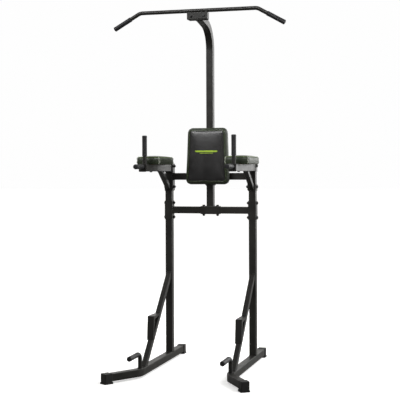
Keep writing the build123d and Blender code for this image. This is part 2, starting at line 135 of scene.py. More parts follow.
def uneven(material, place, patch_mm, dark, light, smooth, rough):
    """Colour from dark to light and roughness from smooth to rough, over patches of patch_mm."""
    noise = {"Vector": place, "Scale": 1 / (patch_mm * MM)}
    patches = add(material, "ShaderNodeTexNoise", noise)["Fac"]
    spread = add(material, "ShaderNodeMapRange", {"Value": patches, **NOISE_SPAN})[0]
    tones = {FACTOR: spread, COLOUR_A: linear(dark), COLOUR_B: linear(light)}
    colour = add(material, "ShaderNodeMix", tones, data_type="RGBA")[MIXED_COLOUR]
    gloss = {"Value": patches, **NOISE_SPAN, "To Min": smooth, "To Max": rough}
    return colour, add(material, "ShaderNodeMapRange", gloss)[0]


def close(material, height, depth_mm, strength, sockets):
    """End a material: bump of depth_mm from a height of 0 to 1, the shader and the output."""
    bump = {"Height": height, "Distance": depth_mm * MM, "Strength": strength}
    normal = add(material, "ShaderNodeBump", bump)["Normal"]
    shader = add(material, "ShaderNodeBsdfPrincipled", {**sockets, "Normal": normal})["BSDF"]
    add(material, "ShaderNodeOutputMaterial", {"Surface": shader})
    return material


# %% [markdown]
# ## Metal finishes
#
# Powder-coated steel: charcoal polyester powder baked on the tubes. It melts into a satin skin
# with a faint orange peel about 2 mm across, so the eye sees soft, slightly broken highlights.
#
# Black zinc: bolts, nuts and washers carry a thin dark plating with a dull metal gleam. Bright
# zinc: the T-nuts and staples are plated and passivated clear.

# %% Powder coat and platings


def powder_coated_steel():
    """Baked charcoal powder: satin, with an orange peel of shallow bumps."""
    paint, place = begin("powder_coated_steel")
    colour, gloss = uneven(paint, place, 60, "#151412", "#1b1a17", 0.34, 0.44)
    bumps = {"Vector": place, "Scale": 1 / (2.0 * MM), "Detail": 2.0}
    peel = add(paint, "ShaderNodeTexNoise", bumps)["Fac"]
    sockets = {"Base Color": colour, "Roughness": gloss, "Specular IOR Level": 0.3}
    return close(paint, peel, 0.15, 0.3, sockets)


def plated_steel(name, dark, light, smooth, rough):
    """Zinc-plated steel: metallic, with fine turning and rolling marks about 0.8 mm apart."""
    plating, place = begin(name)
    colour, gloss = uneven(plating, place, 5, dark, light, smooth, rough)
    marks = add(plating, "ShaderNodeTexNoise", {"Vector": place, "Scale": 1 / (0.8 * MM)})["Fac"]
    sockets = {"Base Color": colour, "Roughness": gloss, "Metallic": 1.0}
    return close(plating, marks, 0.04, 0.3, sockets)


paint = powder_coated_steel()
black_zinc = plated_steel("black_zinc_plating", "#2b2b2c", "#3d3d3c", 0.32, 0.45)
bright_zinc = plated_steel("bright_zinc_plating", "#a9aaa6", "#c6c7c2", 0.25, 0.4)
print("metal finishes:", paint.name, black_zinc.name, bright_zinc.name)

# %% [markdown]
# ## Plastic finishes
#
# Polypropylene: the shoes under the feet and the plugs in the tube ends, injection moulded with a
# fine spark-eroded texture. PVC foam: the hand grips, dipped or slid on, matt and slightly
# blue-black, with tiny closed cells. The cells of real foam are under half a millimetre; they are
# drawn at 1.2 mm so that they still break up the light at this distance.

# %% Polypropylene and PVC foam


def polypropylene():
    """Moulded black PP: even, slightly waxy, scuffed grey in places."""
    plastic, place = begin("moulded_polypropylene")
    colour, gloss = uneven(plastic, place, 20, "#060606", "#0b0b0a", 0.46, 0.6)
    texture = add(plastic, "ShaderNodeTexNoise", {"Vector": place, "Scale": 1 / (1.0 * MM)})["Fac"]
    return close(plastic, texture, 0.08, 0.4, {"Base Color": colour, "Roughness": gloss, "IOR": 1.4})


def pvc_foam():
    """Soft PVC foam: matt skin over cells, one rounded bump to each cell."""
    foam, place = begin("pvc_foam_grip")
    colour, gloss = uneven(foam, place, 14, "#0e0e11", "#151518", 0.45, 0.58)
    cells = add(foam, "ShaderNodeTexVoronoi", {"Vector": place, "Scale": 1 / (1.2 * MM)})["Distance"]
    return close(foam, cells, 0.1, 0.3, {"Base Color": colour, "Roughness": gloss, "IOR": 1.38})


plastic = polypropylene()
foam = pvc_foam()
print("plastic finishes:", plastic.name, foam.name)

# %% [markdown]
# ## Upholstery finishes
#
# Grained vinyl: PVC-coated cloth, embossed with a leather grain. The emboss leaves pebbles parted
# by creases, which a Voronoi texture's distance to its cell edges gives, once its coordinates are
# pushed about by a soft noise so that no crease runs straight. Real grain is 1 to 2 mm; it is
# drawn at 2.4 mm so that it shows.
#
# The front panels are black; the side bands are the same cloth in a black with olive in it.
# Piping vinyl: cloth in olive green, cut on the bias and folded round a cord, so it is stretched
# smoother. Round the back pad the same piping is drawn nearly black, as painted shade. The welts
# down the corners of the arm pads are drawn a paler olive grey, a painted highlight on their
# rounded corners. Print: lime ink on vinyl.

# %% Vinyl, piping and print


def grained_vinyl(name, dark, light, smooth, rough):
    """Embossed vinyl: pebbles of even height, falling into creases over a fifth of their width."""
    vinyl, place = begin(name)
    colour, gloss = uneven(vinyl, place, 40, dark, light, smooth, rough)
    wander = add(vinyl, "ShaderNodeTexNoise", {"Vector": place, "Scale": 1 / (5 * MM)})["Color"]
    push = add(vinyl, "ShaderNodeVectorMath", {0: wander, "Scale": 1.6 * MM}, operation="SCALE")[0]
    moved = add(vinyl, "ShaderNodeVectorMath", {0: place, 1: push}, operation="ADD")[0]
    grain = {"Vector": moved, "Scale": 1 / (2.4 * MM)}
    crease = add(vinyl, "ShaderNodeTexVoronoi", grain, feature="DISTANCE_TO_EDGE")["Distance"]
    pebble = add(vinyl, "ShaderNodeMapRange", {"Value": crease, "From Max": 0.2})[0]
    return close(vinyl, pebble, 0.2, 0.5, {"Base Color": colour, "Roughness": gloss, "IOR": 1.45})


def stretched_vinyl(name, dark, light, ripple_mm):
    """Vinyl stretched smooth: only the ripple of its cloth backing shows through."""
    vinyl, place = begin(name)
    colour, gloss = uneven(vinyl, place, 12, dark, light, 0.34, 0.46)
    ripple = add(vinyl, "ShaderNodeTexNoise", {"Vector": place, "Scale": 1 / (ripple_mm * MM)})["Fac"]
    return close(vinyl, ripple, 0.1, 0.35, {"Base Color": colour, "Roughness": gloss, "IOR": 1.45})


panel_vinyl = grained_vinyl("grained_black_vinyl", "#111011", "#181718", 0.3, 0.4)
band_vinyl = grained_vinyl("grained_olive_black_vinyl", "#131a0c", "#1d2711", 0.42, 0.54)
piping_vinyl = stretched_vinyl("olive_piping_vinyl", "#33470f", "#4c631a", 1.4)
# A darker copy of the olive piping, for the back pad and its welts: painted shade.
piping_painted_shade_vinyl = stretched_vinyl("olive_piping_painted_shade_vinyl", "#161f0a", "#243010", 1.4)
# Pale olive grey for the arm pads' corner welts: a painted highlight of their rounded corners.
welt_painted_highlight_vinyl = stretched_vinyl("olive_grey_welt_painted_highlight_vinyl", "#70736a", "#82857b", 1.4)
print_vinyl = stretched_vinyl("lime_print", "#7f9c1c", "#93b02a", 1.0)
print("upholstery finishes:", panel_vinyl.name, band_vinyl.name, piping_vinyl.name)

# %% [markdown]
# ## Plywood
#
# The boards behind the pads are birch plywood. Its face is rotary-cut veneer, which shows long
# wavy grain; a noise squeezed across the grain and stretched along it gives that. The same noise
# drives the colour and the bump, since the dark late wood is also the raised wood.

# %% Birch veneer


def birch_plywood():
    """Pale veneer: grain lines about 4 mm apart, twelve times as long as they are wide."""
    wood, place = begin("birch_plywood")
    drawn = add(wood, "ShaderNodeMapping", {"Vector": place, "Scale": (1.0, 1 / 12, 1 / 12)})["Vector"]
    grain = {"Vector": drawn, "Scale": 1 / (4.0 * MM), "Detail": 5.0}
    lines = add(wood, "ShaderNodeTexNoise", grain)["Fac"]
    spread = add(wood, "ShaderNodeMapRange", {"Value": lines, **NOISE_SPAN})[0]
    tones = {FACTOR: spread, COLOUR_A: linear("#a98457"), COLOUR_B: linear("#cfae7e")}
    colour = add(wood, "ShaderNodeMix", tones, data_type="RGBA")[MIXED_COLOUR]
    return close(wood, lines, 0.15, 0.4, {"Base Color": colour, "Roughness": 0.66})


plywood = birch_plywood()
print("wood finish:", plywood.name)

# %% [markdown]
# ## Painting the CAD parts
#
# The record says which material slot each CAD node takes. A node keeps its mesh: only its
# material is changed.

# %% Give every CAD node its finish
finishes = {
    "frame_paint": paint,
    "black_fastener": black_zinc,
    "zinc_steel": bright_zinc,
    "black_plastic": plastic,
    "moulded_grip": foam,
    "black_vinyl": panel_vinyl,
    "green_piping": piping_vinyl,
    "plywood": plywood,
}
for part in frame["record"]["subparts"]:
    painted = nodes[part["node"]].data
    painted.materials.clear()
    painted.materials.append(finishes[part["material_slot"]])
print("painted CAD nodes:", len(nodes))

# %% [markdown]
# ## New pieces are surfaces
#
# Everything that is added is a sheet of points worked out with numpy: a grid whose rows and
# columns are two parameters. One function makes a mesh from any number of such sheets. Where the
# edges of two sheets meet, or where a sheet closes on itself, their points are merged; then the
# faces are turned outwards.

# %% From sheets of points to a piece


def surface(name, sheets, material):
    """A mesh through sheets of shape (rows, columns, 3); a face joins rows r, r + 1 at c, c + 1."""
    points = []
    faces = []
    first = 0
    for sheet in sheets:
        rows, columns = sheet.shape[:2]
        corner = np.arange(rows * columns).reshape(rows, columns)[:-1, :-1].reshape(-1, 1) + first
        faces.append(corner + [0, columns, columns + 1, 1])
        points.append(sheet.reshape(-1, 3))
        first += rows * columns
    mesh = bpy.data.meshes.new(name)
    mesh.from_pydata(np.concatenate(points), [], np.concatenate(faces))
    shape = bmesh.new()
    shape.from_mesh(mesh)
    bmesh.ops.remove_doubles(shape, verts=shape.verts, dist=2e-6)
    bmesh.ops.dissolve_degenerate(shape, edges=shape.edges, dist=1e-7)
    bmesh.ops.recalc_face_normals(shape, faces=shape.faces)
    shape.to_mesh(mesh)
    shape.free()
    mesh.shade_smooth()
    mesh.materials.append(material)
    piece = bpy.data.objects.new(name, mesh)
    bpy.context.scene.collection.objects.link(piece)
    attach(piece, "root")
    return piece


def closed(points, axis=0):
    """The points with the first of them repeated at the end along an axis, which closes a loop."""
    return np.concatenate([points, points.take([0], axis=axis)], axis=axis)


def unit(vectors):
    """Vectors divided by their lengths."""
    return vectors / np.linalg.norm(vectors, axis=-1, keepdims=True)


def headings(ring):
    """Directions along a closed path: at each point, from the one before it to the one after."""
    return unit(np.roll(ring, -1, axis=0) - np.roll(ring, 1, axis=0))


def distances(path):
    """How far along a path each of its points is: the sum of the steps up to it."""
    return np.r_[0, np.cumsum(np.linalg.norm(np.diff(path, axis=0), axis=1))]


def read(items, what):
    """Three numbers for each vertex or face of a mesh, such as its "co", as an array."""
    values = np.zeros(len(items) * 3, np.float32)
    items.foreach_get(what, values)
    return values.reshape(-1, 3).astype(float)


# %% [markdown]
# Piping, weld beads, welts and staples are all *tubes*: a circle carried along a path. The circle
# stands square to the path. Its two directions come from the path's own direction and from one
# vector that the path never runs along, such as the normal of the plane it lies in. The radius
# may change along the path, which gives a weld its ripple, and it falls to nothing at the ends of
# an open path, which closes them.

# %% A circle carried along a path


def tube(path, radius, normal, is_loop, sides=8):
    """Point = path + radius * (cos t * across + sin t * third), across = direction x normal."""
    ahead = headings(path) if is_loop else unit(np.gradient(path, axis=0))
    across = unit(np.cross(ahead, normal))
    third = np.cross(ahead, across)
    t = np.linspace(0, 2 * np.pi, sides + 1)[:, None]
    radius = np.broadcast_to(radius, len(path))[:, None, None]
    rim = np.cos(t) * across[:, None] + np.sin(t) * third[:, None]
    rim[:, -1] = rim[:, 0]
    rings = path[:, None] + radius * rim
    if is_loop:
        return closed(rings)
    ends = np.broadcast_to(path[[0, -1], None], (2, sides + 1, 3))
    return np.concatenate([ends[:1], rings, ends[1:]])


# %% [markdown]
# ## Outlines of the pads
#
# A pad's outline is a polygon with rounded corners. It is sampled so that the same number of
# points lies on each side, from the middle of one corner's arc to the middle of the next. That
# lets a square grid be stretched onto it with its four corners on the four arcs. The rings of the
# grid shrink to one point in the middle without crowding into a pole.

# %% Rounded outline, its inset and a grid inside it
SQUARE = np.array([[-1, -1], [1, -1], [1, 1], [-1, 1]])     # corners, counter-clockwise


def rounded_outline(corners, radius, per_side):
    """Arcs of the radius at the corners of a counter-clockwise polygon, joined by its sides.

    An arc's centre is its corner, moved back along both sides' normals by radius / (1 + cosine of
    the turn)."""
    corners = np.asarray(corners, float)
    along = unit(np.roll(corners, -1, axis=0) - corners)
    after = np.stack([along[:, 1], -along[:, 0]], axis=1)
    before = np.roll(after, 1, axis=0)
    cosine = (after * before).sum(axis=1, keepdims=True)
    centres = corners - (after + before) * radius / (1 + cosine)
    start = np.arctan2(before[:, 1], before[:, 0])[:, None]
    angles = start + np.arccos(cosine) * np.linspace(0, 1, 25)
    arcs = centres[:, None] + radius * np.stack([np.cos(angles), np.sin(angles)], axis=-1)
    runs = np.concatenate([arcs[:, 12:], np.roll(arcs, -1, axis=0)[:, :13]], axis=1)
    sides = []
    for run in runs:
        reach = distances(run)
        wanted = np.linspace(0, reach[-1], per_side, endpoint=False)
        sides.append(np.stack([np.interp(wanted, reach, run[:, k]) for k in (0, 1)], axis=1))
    return np.concatenate(sides)


def inset(outline, distance):
    """The outline moved inwards along its own normals."""
    ahead = headings(outline)
    return outline - np.stack([ahead[:, 1], -ahead[:, 0]], axis=1) * np.asarray(distance)[..., None]


def filled(outline):
    """A square grid stretched onto the outline: point = centre + m * (outline(p) - centre), and m.

    m is the larger of |u| and |v|, from 0 in the middle to 1 at the rim, and p is how far round
    the square the ray through (u, v) meets its rim."""
    per_side = len(outline) // 4
    u, v = np.meshgrid(*[np.linspace(-1, 1, per_side + 1)] * 2, indexing="ij")
    m = np.maximum(abs(u), abs(v))
    a, b = u / np.maximum(m, 1e-9), v / np.maximum(m, 1e-9)
    sides = [b <= -1 + 1e-9, a >= 1 - 1e-9, b >= 1 - 1e-9]
    p = np.select(sides, [(a + 1) / 2, 1 + (b + 1) / 2, 2 + (1 - a) / 2], 3 + (1 - b) / 2) * per_side
    ring = closed(outline)
    centre = (outline.min(axis=0) + outline.max(axis=0)) / 2
    steps = np.arange(len(ring))
    rim = np.stack([np.interp(p, steps, ring[:, k]) for k in (0, 1)], axis=-1)
    return centre + m[..., None] * (rim - centre), m


# %% [markdown]
# ## Where the pads sit
#
# The back pad leans back by about three degrees and the arm pads lie level. Each pad gets
# directions of its own: across it, along it, and out through the padding. The lean is read off
# the CAD board, whose back is a flat face, so it isn't measured twice. Heights are counted from
# the back of the board.

# %% Directions of a pad


class Seat:
    """Pad coordinates: point = origin + x * across + y * along + height * out."""

    def __init__(self, origin, across, along):
        self.origin = np.asarray(origin, float)
        self.across = np.asarray(across, float)
        self.along = np.asarray(along, float)
        self.out = np.cross(self.across, self.along)

    def place(self, flat, height):
        """Points of the tower from points (x, y) of the pad and heights above its board's back."""
        height = np.broadcast_to(height, flat.shape[:-1])[..., None]
        x, y = flat[..., :1], flat[..., 1:]
        return self.origin + x * self.across + y * self.along + height * self.out


def node_points(name):
    """All points of a CAD node, in metres."""
    return read(nodes[name].data.vertices, "co")


def back_seat():
    """The back pad's directions, and how far its solid reaches along them."""
    board = node_points("back_pad_board")
    lowest = board[board[:, 2] < board[:, 2].min() + MM / 2]
    highest = board[board[:, 2] > board[:, 2].max() - MM / 2]
    foot = lowest[lowest[:, 1].argmax()]
    head = highest[highest[:, 1].argmax()]
    along = unit((head - foot) * [0, 1, 1])
    seat = Seat(foot * [0, 1, 1], (1, 0, 0), along)
    directions = np.stack([seat.across, seat.along, seat.out])
    return seat, (node_points("back_pad") - seat.origin) @ directions.T


back, back_solid = back_seat()
lean = np.degrees(np.arctan2(back.along[1], back.along[2]))
print("back pad leans", round(float(lean), 2), "degrees")
print("back pad solid, mm:", (np.ptp(back_solid, axis=0) / MM).round(1))

# %% [markdown]
# ## Stuffing a pad
#
# A pad is foam on a board, under a vinyl cover of two pieces: a front panel and a side band, sewn
# together round the rim with piping in the seam. The cover is pulled over the board's edge. Foam
# swells the panel into a crown and the band into a gentle bulge, and the cover's pull draws the
# rim in between the corners.
#
# A cushion like that can be carved by hand, or its swelling can be simulated. Cloth with a little
# pressure inside does it well: the panel and band bulge as far as their own size lets them, and
# the seam and the board's edge, which are held, stay put. The simulation starts from a slimmer
# pad, gravity is off, and no point may travel further than a cap. The result is applied, and only
# then is the seam drawn in and the cover puckered along it, because a simulation would smooth
# that away.

# %% The cover before it is stuffed
BOARD_ROOM = 3.7 * MM       # from the outline in to the board's edge
BOARD_TOP = 12.3 * MM       # from the board's back to the top of the room it sits in
SEAM_DROP = 4.0 * MM        # the seam is this far below the top of the CAD cushion
PULL = 2.0 * MM             # the rim is drawn in this far half-way between its corners


def cover_sheets(seat, outline, thickness, seam_in, crown, bulge):
    """Front panel, and side band with its turned-under edge, and the seam between the two.

    From the seam, seam_in inside the outline, the band turns through a quarter of an ellipse onto
    the outline and goes down to the board; half-way between corners the pull draws it in. It
    bulges by bulge * sin(pi * height / seam height), turns under by the board's room and goes up
    round the board. The panel rises by crown * (1 - m^2.5)."""
    pull = np.sin(np.linspace(0, 4 * np.pi, len(outline), endpoint=False)) ** 2 * PULL
    seam_height = thickness - SEAM_DROP
    panel, m = filled(inset(outline, seam_in + pull))
    front = seat.place(panel, seam_height + crown * (1 - m**2.5))
    angle = np.linspace(0, np.pi / 2, 7)
    drop = min(seam_in * 2.4, seam_height * 0.6)
    profile_in = np.r_[1 - np.sin(angle), np.zeros(8)]
    rounding = seam_height - drop * (1 - np.cos(angle))
    profile_up = np.r_[rounding, np.linspace(seam_height - drop, 0, 9)[1:]]
    low = profile_up / seam_height
    profile_in = profile_in - bulge / seam_in * np.sin(np.pi * low)
    rows = [inset(outline, seam_in * step + pull * share) for step, share in zip(profile_in, low)]
    band = np.stack([seat.place(row, up) for row, up in zip(rows, profile_up)])
    turned = inset(outline, BOARD_ROOM)
    under = np.stack([seat.place(turned, 0), seat.place(turned, BOARD_TOP)])
    recess = seat.place(filled(turned)[0], BOARD_TOP)
    return [front, closed(np.concatenate([band, under]), 1), recess], band[0]


# %% Swell the cover and read where it went
FRAMES = 20
TRAVEL_CAP = 6.0 * MM
HELD_BELOW = 13.0 * MM      # lower points are held by the board and its staples
SEAM_HOLD = 0.85            # the seam is held nearly as firmly


def swell(pad, held):
    """Cloth under pressure for 20 frames, held where the weights say.

    A point travels cap * tanh(distance / cap), so that the cap limits it without a step."""
    scene = bpy.context.scene
    start = read(pad.data.vertices, "co")
    group = pad.vertex_groups.new(name="held")
    for weight in np.unique(held):
        group.add(np.flatnonzero(held == weight).tolist(), float(weight), "REPLACE")
    cloth = pad.modifiers.new("swelling", "CLOTH")
    cloth.settings.use_pressure = True
    cloth.settings.uniform_pressure_force = 4.0
    cloth.settings.effector_weights.gravity = 0.0
    cloth.settings.vertex_group_mass = group.name
    cloth.settings.quality = 6
    cloth.settings.tension_stiffness = 12.0
    cloth.settings.compression_stiffness = 12.0
    cloth.settings.bending_stiffness = 2.0
    cloth.point_cache.frame_start = 1
    cloth.point_cache.frame_end = FRAMES
    for number in range(1, FRAMES + 1):
        scene.frame_set(number)
    swelled = pad.evaluated_get(bpy.context.evaluated_depsgraph_get())
    moved = read(swelled.data.vertices, "co") - start
    pad.modifiers.remove(cloth)
    pad.vertex_groups.remove(group)
    scene.frame_set(1)
    distance = np.linalg.norm(moved, axis=1, keepdims=True)
    travel = TRAVEL_CAP * np.tanh(distance / TRAVEL_CAP)
    ends = start + moved * travel / np.maximum(distance, 1e-9)
    pad.data.vertices.foreach_set("co", ends.ravel())
    return float(travel.max())


# %% [markdown]
# The seam is drawn in by its stitches, a little more in some places than others. How far a point
# of the cover is from the seam decides how much it follows: the draw falls off as a bell curve a
# few millimetres wide, and the puckers as a wider one. The puckers are waves along the seam,
# about 17 mm apart, whose strength wanders, since no two stitches pull alike.

# %% Draw in the seam, and stuff a pad from start to finish


def draw_in(pad, seam_points, out):
    """Move points along their normals: -(3 mm * bell(6 mm) + puckers 0.7 mm * bell(16 mm))."""
    mesh = pad.data
    points = read(mesh.vertices, "co")
    normals = read(mesh.vertex_normals, "vector")
    gaps = np.linalg.norm(points[:, None] - seam_points[None], axis=2)
    nearest = gaps.argmin(axis=1)
    distance = gaps.min(axis=1)
    reach = distances(seam_points)[nearest]
    turns = 2 * np.pi * reach
    wave = np.sin(turns / (17 * MM)) * (0.6 + 0.4 * np.sin(turns / (61 * MM)))
    draw = 3.0 * MM * np.exp(-((distance / (6 * MM)) ** 2))
    pucker = 0.7 * MM * wave * np.exp(-((distance / (16 * MM)) ** 2)) * (distance > 2 * MM)
    above = (points @ out) > (seam_points @ out).min() - 30 * MM
    points -= normals * ((draw + pucker) * above)[:, None]
    mesh.vertices.foreach_set("co", points.ravel())
    return points


def paint_band(pad, seat, rim, seam_heights):
    """Faces outside the seam, or more than 14 mm below it, take the band's vinyl."""
    mesh = pad.data
    mesh.materials.append(band_vinyl)
    middles = read(mesh.polygons, "center") - seat.origin
    flat = np.stack([middles @ seat.across, middles @ seat.along], axis=1)
    nearest = np.linalg.norm(flat[:, None] - rim[None], axis=2).argmin(axis=1)
    ahead = headings(rim)
    outwards = np.stack([ahead[:, 1], -ahead[:, 0]], axis=1)[nearest]
    outside = ((flat - rim[nearest]) * outwards).sum(axis=1) > -0.5 * MM
    low = middles @ seat.out < seam_heights.mean() - 14 * MM
    mesh.polygons.foreach_set("material_index", (outside | low).astype(np.int32))
    mesh.update()


def stuffed(name, seat, outline, thickness, seam_in, crown, bulge, replaced):
    """A pad: its cover swelled, its seam drawn in, and the seam's path for the piping."""
    sheets, seam = cover_sheets(seat, outline, thickness, seam_in, crown, bulge)
    pad = surface(name, sheets, panel_vinyl)
    start = read(pad.data.vertices, "co")
    height = (start - seat.origin) @ seat.out
    held = np.where(height < HELD_BELOW, 1.0, 0.0)
    on_seam = np.linalg.norm(start[:, None] - seam[None], axis=2).argmin(axis=0)
    held[on_seam] = SEAM_HOLD
    largest = swell(pad, held)
    swelled = read(pad.data.vertices, "co")[on_seam]
    finished = draw_in(pad, swelled, seat.out)
    paint_band(pad, seat, inset(outline, seam_in), (seam - seat.origin) @ seat.out)
    smooth = pad.modifiers.new("smooth", "SUBSURF")
    smooth.levels = smooth.render_levels = 1
    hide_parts(replaced)
    print(name, "swelled by up to", round(largest / MM, 1), "mm,", len(pad.data.vertices), "points")
    return pad, finished[on_seam]


# %% [markdown]
# ## The back pad
#
# The back pad is a little wider at its lower edge than at its upper one, with generous corners.
# Its outline comes from the CAD solid's own reach. The seam's points after swelling are kept, as
# the piping has to lie in the seam wherever the stuffing has pushed it.

# %% Stuff the back pad
CORNER = 28 * MM


def back_outline():
    """A trapezoid past the solid's sides by 5 mm low down and 3.5 mm high up, with round corners."""
    edge = back_solid[back_solid[:, 2] < 45 * MM]
    top = edge[:, 1].max()
    high = edge[edge[:, 1] > top - CORNER - MM][:, 0].max() + 3.5 * MM
    low_y = edge[:, 1].min()
    low = edge[:, 0].max() + 5 * MM
    corners = [(-low, low_y), (low, low_y), (high, top), (-high, top)]
    return rounded_outline(corners, CORNER, 44)


back_rim = back_outline()
back_depth = back_solid[:, 2].max()
back_pad, back_seam = stuffed(
    "back_pad_cover", back, back_rim, back_depth,
    seam_in=12 * MM, crown=7 * MM, bulge=7.5 * MM, replaced="back_pad",
)
print("back pad outline, mm:", (np.ptp(back_rim, axis=0) / MM).round(1))

# %% [markdown]
# ## The arm pads
#
# The arm pads are plain boxes with tight corners, lying on their boards along the arms. Both come
# from one outline, each in its own place.

# %% Stuff the arm pads


def arm_seat(node):
    """Directions of an arm pad: origin under its middle, across +X, along +Y, out +Z."""
    low, high = (np.array(corner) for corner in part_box(node))
    return Seat((*((low + high) / 2)[:2], low[2]), (1, 0, 0), (0, 1, 0)), high - low


arm_pads = {}
for side in ("left", "right"):
    seat, (width, length, depth) = arm_seat(side + "_arm_pad")
    corners = SQUARE * [width / 2, length / 2]
    rim = rounded_outline(corners, 12 * MM, 32)
    pad, seam = stuffed(
        side + "_arm_pad_cover", seat, rim, depth,
        seam_in=6 * MM, crown=8 * MM, bulge=2.5 * MM, replaced=side + "_arm_pad",
    )
    arm_pads[side] = (seat, rim, pad, seam)

# %% [markdown]
# ## Piping
#
# Piping is a cord folded in a bias strip and caught in the seam, so it stands half out of it. A
# tube of 5.6 mm follows the seam's own points, evened out a little, since a cord doesn't take
# every pucker.

# %% Piping in the three seams


def evened(path, rounds):
    """A closed path whose points move to the mean of themselves and their neighbours, in rounds."""
    for _ in range(rounds):
        path = (np.roll(path, 1, axis=0) + path + np.roll(path, -1, axis=0)) / 3
    return path


def piping_along(name, seam, seat, vinyl):
    """A 5.6 mm tube on the seam, pushed 1.2 mm out sideways and 1.2 mm up, out of the valley."""
    path = evened(seam, 2)
    sideways = unit(np.cross(headings(path), seat.out))
    path = path + sideways * 1.2 * MM + seat.out * 1.2 * MM
    return surface(name, [tube(path, 2.8 * MM, seat.out, True, 10)], vinyl)


# The back pad's piping takes the darker copy of the olive piping: painted shade.
piping_along("back_pad_piping", back_seam, back, piping_painted_shade_vinyl)
for side, (seat, rim, pad, seam) in arm_pads.items():
    piping_along(side + "_arm_pad_piping", seam, seat, piping_vinyl)
print("back piping length, m:", round(float(distances(closed(back_seam))[-1]), 3))

# %% [markdown]
# ## Corner welts
#
# The side band of each pad is sewn from strips that meet at the corners, with a thin folded welt
# in each joint. It runs from the piping down to the board, over the bulge of the band. Its path
# is a column of points of the cover, so it lies on the stuffing.

# %% Welts down the corners


def corner_welts(name, pad, seat, rim, radius, vinyl):
    """Tubes from the seam down each corner, laid on the cover's own points.

    A welt's place at a level is the mean of the points near the corner, each with the weight
    1 / (gap^2 + (8 * difference in height)^2)^2."""
    local = read(pad.data.vertices, "co") - seat.origin
    flat = np.stack([local @ seat.across, local @ seat.along], axis=1)
    height = local @ seat.out
    top = height.max() - 9 * MM
    columns = []
    for corner in rim[:: len(rim) // 4]:
        levels = np.linspace(1.5 * MM, top, 14)
        gap = np.linalg.norm(flat - corner, axis=1)
        near = gap < 22 * MM
        rise = height[near][None] - levels[:, None]
        weight = 1 / (1e-9 + gap[near] ** 2 + (8 * rise) ** 2) ** 2
        column = (weight[:, :, None] * flat[near][None]).sum(axis=1) / weight.sum(axis=1)[:, None]
        reach = 1 + 1.0 * MM / np.linalg.norm(corner)
        path = seat.place(column * reach, levels)
        columns.append(tube(path, radius, corner_side(seat, corner), False, 8))
    return surface(name, columns, vinyl)


def corner_side(seat, corner):
    """Direction from the middle of a pad to one of its corners."""
    return unit(corner[0] * seat.across + corner[1] * seat.along)


# The arm pads' welts are pale olive grey, a painted highlight of the rounded corners.
for side, (seat, rim, pad, seam) in arm_pads.items():
    corner_welts(side + "_arm_pad_welts", pad, seat, rim, 3.2 * MM, welt_painted_highlight_vinyl)
# The back pad's welts take the darker copy of the olive piping: painted shade.
corner_welts("back_pad_welts", back_pad, back, back_rim, 1.6 * MM, piping_painted_shade_vinyl)
print("corner welts on three pads")

# %% [markdown]
# ## Hems and staples
#
# Behind each board the cover is folded over, cut off about 20 mm in, and held with staples. On
# the arm pads the hem stops at the arm's tube, on which the board rests. A hem is a thin strip
# that follows the outline; its cut edge wanders a little, because it is cut by hand. The staples
# are bright wire, 10 mm wide, every 26 mm or so.

# %% Hems on the boards' backs


def hem_strip(seat, outline, keep):
    """A strip 1 mm thick from the outline to 21 mm inside it, at the back of the board.

    The cut edge is at 21 mm + 1 mm * (sin 5t + 0.6 sin 13t). Only the points to keep are used."""
    t = np.linspace(0, 2 * np.pi, len(outline), endpoint=False)
    cut = 21 * MM + (np.sin(5 * t) + 0.6 * np.sin(13 * t)) * MM
    outer, inner = inset(outline, 0.8 * MM), inset(outline, cut)
    levels = [(outer, -0.05), (outer, -0.9), (inner, -1.1), (inner, -0.05), (outer, -0.05)]
    rows = np.stack([seat.place(flat, height * MM) for flat, height in levels], axis=1)
    return rows[keep] if keep is not None else closed(rows)


def capped(strip):
    """A strip whose first and last sections are drawn together to a point, which closes it."""
    middle = strip[:, :4].mean(axis=1, keepdims=True)
    ends = np.broadcast_to(middle, strip.shape)
    return np.concatenate([ends[:1], strip, ends[-1:]])


def staple(seat, place, ahead):
    """A staple's crown: a wire 10 mm long and 0.9 mm thick, bent down at both ends."""
    along = np.array([-5.0, -4.6, 0.0, 4.6, 5.0]) * MM
    heights = np.array([-0.6, -1.5, -1.6, -1.5, -0.6]) * MM
    wire = seat.place(place + along[:, None] * ahead, heights)
    return tube(wire, 0.45 * MM, seat.out, False, 6)


def staple_row(seat, outline, clear):
    """Staples 12 mm inside the outline, every 26 mm, askew by up to 0.25 rad, clear of the tube."""
    line = inset(outline, 12 * MM)
    ahead = headings(line)
    reach = distances(line)
    wanted = np.searchsorted(reach, np.arange(13 * MM, reach[-1], 26 * MM))
    askew = np.sin(np.arange(len(wanted)) * 2.4) * 0.25
    sideways = ahead[wanted][:, ::-1] * [-1, 1]
    ways = ahead[wanted] * np.cos(askew)[:, None] + sideways * np.sin(askew)[:, None]
    return [staple(seat, line[k], way) for k, way in zip(wanted, ways) if abs(line[k][0]) > clear]


def hem_halves(seat, outline, clear):
    """The hem's two parts, right and left of a tube. Counting starts at the middle of the outline's
    lower side, so that each part's points come in one unbroken run."""
    order = np.roll(np.arange(len(outline)), -(len(outline) // 8))
    runs = [order[outline[order][:, 0] * sign > clear] for sign in (1, -1)]
    return [capped(hem_strip(seat, outline, run)) for run in runs]


staples = staple_row(back, back_rim, 0)
surface("back_pad_hem", [hem_strip(back, back_rim, None)], band_vinyl)
surface("back_pad_staples", staples, bright_zinc)
arm_low, arm_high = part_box("right_arm_tube")
arm_room = (arm_high[0] - arm_low[0]) / 2 + 2 * MM
for side, (seat, rim, pad, seam) in arm_pads.items():
    surface(side + "_arm_pad_hem", hem_halves(seat, rim, arm_room), band_vinyl)
    row = staple_row(seat, rim, arm_room + 8 * MM)
    surface(side + "_arm_pad_staples", row, bright_zinc)
print("staples:", len(staples), "behind the back pad,", len(row), "under each arm pad")

